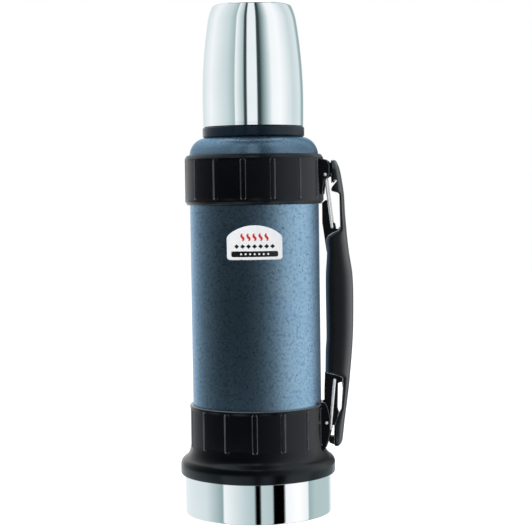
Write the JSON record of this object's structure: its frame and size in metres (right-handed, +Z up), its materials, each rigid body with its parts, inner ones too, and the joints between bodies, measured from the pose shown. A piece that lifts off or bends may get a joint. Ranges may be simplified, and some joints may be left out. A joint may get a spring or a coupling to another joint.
{
  "type": "vacuum flask",
  "caption": "Steel vacuum flask with screw-on cup, screw stopper, ribbed collars and a clip-on side handle with wire gates.",
  "frame": {"origin": "centre of the underside of the base, on the flask's axis", "axes": "+Z up along the flask's axis, +X towards the handle, -Y the front that carries the badge"},
  "size_m": [0.1214, 0.1074, 0.3493],
  "materials": {
    "chrome_steel": "mirror polish",
    "blue_paint": "glossy hammered paint",
    "plain_steel": "brushed",
    "copper_foil": "thin foil",
    "black_plastic": "satin",
    "grey_plastic": "satin",
    "handle_plate": "black-coated plate",
    "wire_steel": "bright wire",
    "label": "gloss",
    "white_foam": "foam",
    "foam_rubber": "matt",
    "seal_rubber": "matt"
  },
  "bodies": {
    "flask": {"base_cup": "chrome_steel", "base_pad": "foam_rubber", "outer_shell": "blue_paint", "outer_base_cap": "plain_steel", "getter_plug": "plain_steel", "heat_shield": "copper_foil", "inner_bottle": "plain_steel", "neck_collar": "black_plastic", "neck_gasket": "seal_rubber", "lower_collar": "black_plastic", "upper_collar": "black_plastic", "upper_lug_pin": "wire_steel", "lower_lug_pin": "wire_steel", "badge_plate": "label"},
    "stopper_seal": {"stopper_lower_gasket": "seal_rubber"},
    "stopper": {"stopper_body": "black_plastic", "stopper_knob": "black_plastic", "stopper_core": "white_foam", "stopper_plug": "plain_steel", "stopper_upper_gasket": "seal_rubber"},
    "cup_seal": {"cup_seal_ring": "seal_rubber"},
    "cup": {"cup_shell": "chrome_steel", "cup_liner": "grey_plastic"},
    "handle": {"handle_core": "handle_plate", "handle_grip": "black_plastic"},
    "upper_wire": {"upper_gate": "wire_steel"},
    "lower_wire": {"lower_gate": "wire_steel"}
  },
  "joints": [
    {"name": "stopper_lift", "type": "slide", "parent": "flask", "child": "stopper_seal", "axis": [0, 0, 1], "range_m": [0, 0.0481]},
    {"name": "stopper_turn", "type": "hinge", "parent": "stopper_seal", "child": "stopper", "pos_m": [0, 0, 0.26], "axis": [0, 0, 1], "range_deg": [0, 1440]},
    {"name": "cup_lift", "type": "slide", "parent": "stopper", "child": "cup_seal", "axis": [0, 0, 1], "range_m": [0, 0.0481]},
    {"name": "cup_turn", "type": "hinge", "parent": "cup_seal", "child": "cup", "pos_m": [0, 0, 0.3], "axis": [0, 0, 1], "range_deg": [0, 1440]},
    {"name": "handle_play", "type": "slide", "parent": "flask", "child": "handle", "axis": [0, 0, 1], "range_m": [0, 0.0008]},
    {"name": "upper_gate_swing", "type": "hinge", "parent": "handle", "child": "upper_wire", "pos_m": [0.054, 0, 0.197], "axis": [0, 1, 0], "range_deg": [0, 7], "stiffness_Nm_per_rad": 0.05, "springref_deg": -17.19},
    {"name": "lower_gate_swing", "type": "hinge", "parent": "handle", "child": "lower_wire", "pos_m": [0.0546, 0, 0.0915], "axis": [0, -1, 0], "range_deg": [0, 6], "stiffness_Nm_per_rad": 0.05, "springref_deg": -17.19}
  ],
  "couplings": [
    {"joint": "stopper_lift", "follows": "stopper_turn", "m_per_rad": 0.0019099},
    {"joint": "cup_lift", "follows": "cup_turn", "m_per_rad": 0.0019099}
  ]
}
